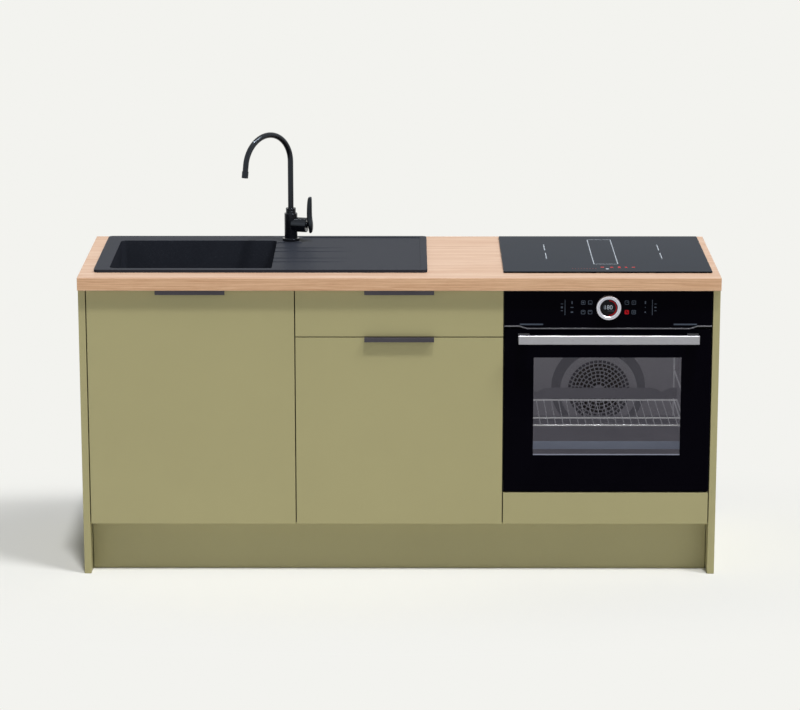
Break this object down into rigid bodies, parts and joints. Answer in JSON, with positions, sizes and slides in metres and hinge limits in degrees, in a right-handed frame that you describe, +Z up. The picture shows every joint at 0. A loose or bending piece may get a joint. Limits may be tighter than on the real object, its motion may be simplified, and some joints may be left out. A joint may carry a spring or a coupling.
{
  "type": "kitchen base cabinet",
  "caption": "Kitchen base unit run under one oak worktop, with inset black sink and mixer tap, hinged front, drawers, built-in oven and glass hob.",
  "frame": {"origin": "middle of the object's footprint box, on the floor", "axes": "+X to the right seen from the front, +Y towards the wall, +Z up"},
  "size_m": [1.84, 0.627, 1.2349],
  "materials": {
    "olive_front": "matt lacquered board",
    "oak_worktop": "light oak laminate",
    "white_board": "white faced chipboard",
    "black_plastic": "moulded",
    "black_composite": "granite composite",
    "steel": "satin",
    "chrome_wire": "bright",
    "white_plastic": "moulded",
    "pull_metal": "dark grey satin",
    "black_glass": "polished",
    "clear_glass": "polished",
    "panel_glass": "gloss black",
    "galvanised": "galvanised sheet",
    "enamel": "dark enamel",
    "heater": "oxidised steel",
    "display_glass": "gloss",
    "dial_metal": "satin",
    "door_frame": "black",
    "handle_metal": "satin",
    "tap_black": "satin black"
  },
  "bodies": {
    "cabinet": {"worktop": "oak_worktop", "end_panels": "olive_front", "unit_sides": "white_board", "unit_floors": "white_board", "unit_rails": "white_board", "unit_back_panels": "white_board", "leveling_legs": "black_plastic", "plinth": "olive_front", "plinth_clips": "black_plastic", "oven_filler_panel": "olive_front", "sink_top": "black_composite", "sink_waste": "steel", "waste_trap": "white_plastic", "hinge_arms": "steel", "drawer_runner_rails": "steel", "hob_glass": "black_glass", "hob_case": "galvanised", "oven_casing": "galvanised", "oven_cavity": "enamel", "oven_fan_cover": "enamel", "oven_fan_motor": "steel", "oven_side_racks": "chrome_wire", "oven_wire_rack": "chrome_wire", "oven_tray": "enamel", "oven_grill_element": "heater", "oven_control_panel": "panel_glass", "oven_control_box": "black_plastic", "oven_display": "display_glass", "oven_door_hinges": "steel", "tap_body": "tap_black", "tap_nut": "black_plastic", "tap_valve": "tap_black"},
    "sink_door_links": {"hinge_links": "steel"},
    "sink_door": {"hinge_cups": "steel", "sink_door_panel": "olive_front", "sink_door_pull": "pull_metal"},
    "upper_drawer": {"upper_drawer_front": "olive_front", "upper_drawer_pull": "pull_metal", "upper_drawer_sides": "white_board", "upper_drawer_back": "white_board", "upper_drawer_bottom": "white_board", "upper_drawer_slides": "steel"},
    "lower_drawer": {"lower_drawer_front": "olive_front", "lower_drawer_pull": "pull_metal", "lower_drawer_sides": "white_board", "lower_drawer_back": "white_board", "lower_drawer_bottom": "white_board", "lower_drawer_slides": "steel"},
    "oven_door": {"oven_door_glass": "clear_glass", "oven_door_trim": "handle_metal", "oven_door_frame": "door_frame", "oven_door_inner_glass": "clear_glass", "oven_door_handle": "handle_metal"},
    "oven_dial": {"oven_dial": "dial_metal"},
    "oven_fan": {"oven_fan": "steel"},
    "tap_spout": {"tap_spout": "tap_black", "tap_aerator": "tap_black"},
    "tap_stem": {"tap_valve_stem": "tap_black"},
    "tap_lever": {"tap_lever": "tap_black"},
    "sink_strainer": {"sink_strainer": "steel"}
  },
  "joints": [
    {"name": "sink_door_link", "type": "hinge", "parent": "cabinet", "child": "sink_door_links", "pos_m": [-0.8425, -0.223, 0.45], "axis": [0, 0, 1], "range_deg": [0, 47.5]},
    {"name": "sink_door_swing", "type": "hinge", "parent": "sink_door_links", "child": "sink_door", "pos_m": [-0.879, -0.2495, 0.45], "axis": [0, 0, -1], "range_deg": [0, 142.5]},
    {"name": "upper_drawer_slide", "type": "slide", "parent": "cabinet", "child": "upper_drawer", "axis": [0, -1, 0], "range_m": [0, 0.4]},
    {"name": "lower_drawer_slide", "type": "slide", "parent": "cabinet", "child": "lower_drawer", "axis": [0, -1, 0], "range_m": [0, 0.4]},
    {"name": "oven_door_hinge", "type": "hinge", "parent": "cabinet", "child": "oven_door", "pos_m": [0.6, -0.2585, 0.261], "axis": [1, 0, 0], "range_deg": [0, 90], "stiffness_Nm_per_rad": 8, "springref_deg": -20.05},
    {"name": "oven_dial_turn", "type": "hinge", "parent": "cabinet", "child": "oven_dial", "pos_m": [0.6, -0.2725, 0.798], "axis": [0, -1, 0], "continuous": true},
    {"name": "oven_fan_spin", "type": "hinge", "parent": "cabinet", "child": "oven_fan", "pos_m": [0.6, 0.1425, 0.45392], "axis": [0, 1, 0], "continuous": true},
    {"name": "tap_spout_swivel", "type": "hinge", "parent": "cabinet", "child": "tap_spout", "pos_m": [-0.326, 0.2115, 0.985], "axis": [0, 0, 1], "range_deg": [-45, 135]},
    {"name": "tap_lever_turn", "type": "hinge", "parent": "cabinet", "child": "tap_stem", "pos_m": [-0.28253, 0.19985, 0.946], "axis": [0.9659, -0.2588, 0], "range_deg": [-50, 50]},
    {"name": "tap_lever_lift", "type": "hinge", "parent": "tap_stem", "child": "tap_lever", "pos_m": [-0.26756, 0.19584, 0.946], "axis": [0.2588, 0.9659, 0], "range_deg": [0, 20]},
    {"name": "strainer_lift", "type": "slide", "parent": "cabinet", "child": "sink_strainer", "axis": [0, 0, 1], "range_m": [0, 0.06]}
  ],
  "couplings": [
    {"joint": "sink_door_link", "follows": "sink_door_swing", "ratio": 0.33333}
  ]
}
